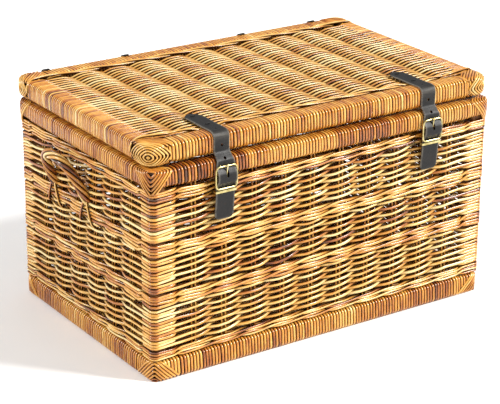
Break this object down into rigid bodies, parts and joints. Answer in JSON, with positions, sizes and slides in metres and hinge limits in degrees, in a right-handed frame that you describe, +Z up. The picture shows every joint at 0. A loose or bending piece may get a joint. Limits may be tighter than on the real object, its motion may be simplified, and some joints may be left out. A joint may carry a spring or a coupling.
{
  "type": "wicker storage trunk",
  "caption": "Rectangular wicker storage trunk with a hinged woven lid, leather straps with brass buckles at the front and a twisted handle at each end.",
  "frame": {"origin": "centre of the footprint, on the floor under the base frame", "axes": "+X along the width, -Y towards the front with the buckles, +Z up"},
  "size_m": [0.784, 0.486, 0.4217],
  "materials": {
    "willow": "woven rods, honey gold, varnished",
    "cane_wrap": "split cane wound side by side, satin",
    "wood_core": "rough dark rod",
    "leather": "dark grey-black, grained",
    "brass": "polished, slightly worn"
  },
  "bodies": {
    "trunk": {"base_core": "wood_core", "base_wrap_front": "cane_wrap", "base_wrap_back": "cane_wrap", "base_wrap_left": "cane_wrap", "base_wrap_right": "cane_wrap", "base_corners": "cane_wrap", "floor_ribs": "willow", "floor_weave": "willow", "post_front_left": "wood_core", "post_front_right": "wood_core", "post_back_left": "wood_core", "post_back_right": "wood_core", "stakes_front": "willow", "stakes_back": "willow", "stakes_left": "willow", "stakes_right": "willow", "foot_wale": "willow", "lower_weave": "willow", "lower_wale": "willow", "middle_weave": "willow", "upper_wale": "willow", "upper_weave": "willow", "top_wale": "willow", "rim_core": "wood_core", "rim_wrap_front": "cane_wrap", "rim_wrap_back": "cane_wrap", "rim_wrap_left": "cane_wrap", "rim_wrap_right": "cane_wrap", "rim_corners": "cane_wrap", "handle_left": "willow", "handle_right": "willow", "hinge_pins": "brass", "rim_hinge_loops": "leather", "chape_left": "leather", "chape_right": "leather", "chape_rivets": "brass", "buckle_frame_left": "brass", "buckle_frame_right": "brass", "keeper_left": "brass", "keeper_right": "brass"},
    "lid": {"lid_hinge_loops": "leather", "lid_core": "wood_core", "lid_wrap_front": "cane_wrap", "lid_wrap_back": "cane_wrap", "lid_wrap_left": "cane_wrap", "lid_wrap_right": "cane_wrap", "lid_corners": "cane_wrap", "lid_ribs": "willow", "lid_weave": "willow", "lid_edging": "willow", "strap_top_left": "leather", "strap_top_right": "leather", "strap_stitches": "leather"},
    "strap_left": {"strap_hanging_left": "leather"},
    "strap_right": {"strap_hanging_right": "leather"},
    "prong_left": {"prong_left": "brass"},
    "prong_right": {"prong_right": "brass"}
  },
  "joints": [
    {"name": "lid_hinge", "type": "hinge", "parent": "trunk", "child": "lid", "pos_m": [0, 0.239, 0.3792], "axis": [-1, 0, 0], "range_deg": [0, 105]},
    {"name": "strap_left_swing", "type": "hinge", "parent": "lid", "child": "strap_left", "pos_m": [-0.216, -0.22215, 0.4054], "axis": [-1, 0, 0], "range_deg": [0, 95]},
    {"name": "strap_right_swing", "type": "hinge", "parent": "lid", "child": "strap_right", "pos_m": [0.216, -0.22215, 0.4054], "axis": [-1, 0, 0], "range_deg": [0, 95]},
    {"name": "prong_left_pivot", "type": "hinge", "parent": "trunk", "child": "prong_left", "pos_m": [-0.216, -0.2365, 0.345], "axis": [1, 0, 0], "range_deg": [0, 50]},
    {"name": "prong_right_pivot", "type": "hinge", "parent": "trunk", "child": "prong_right", "pos_m": [0.216, -0.2365, 0.345], "axis": [1, 0, 0], "range_deg": [0, 50]}
  ]
}
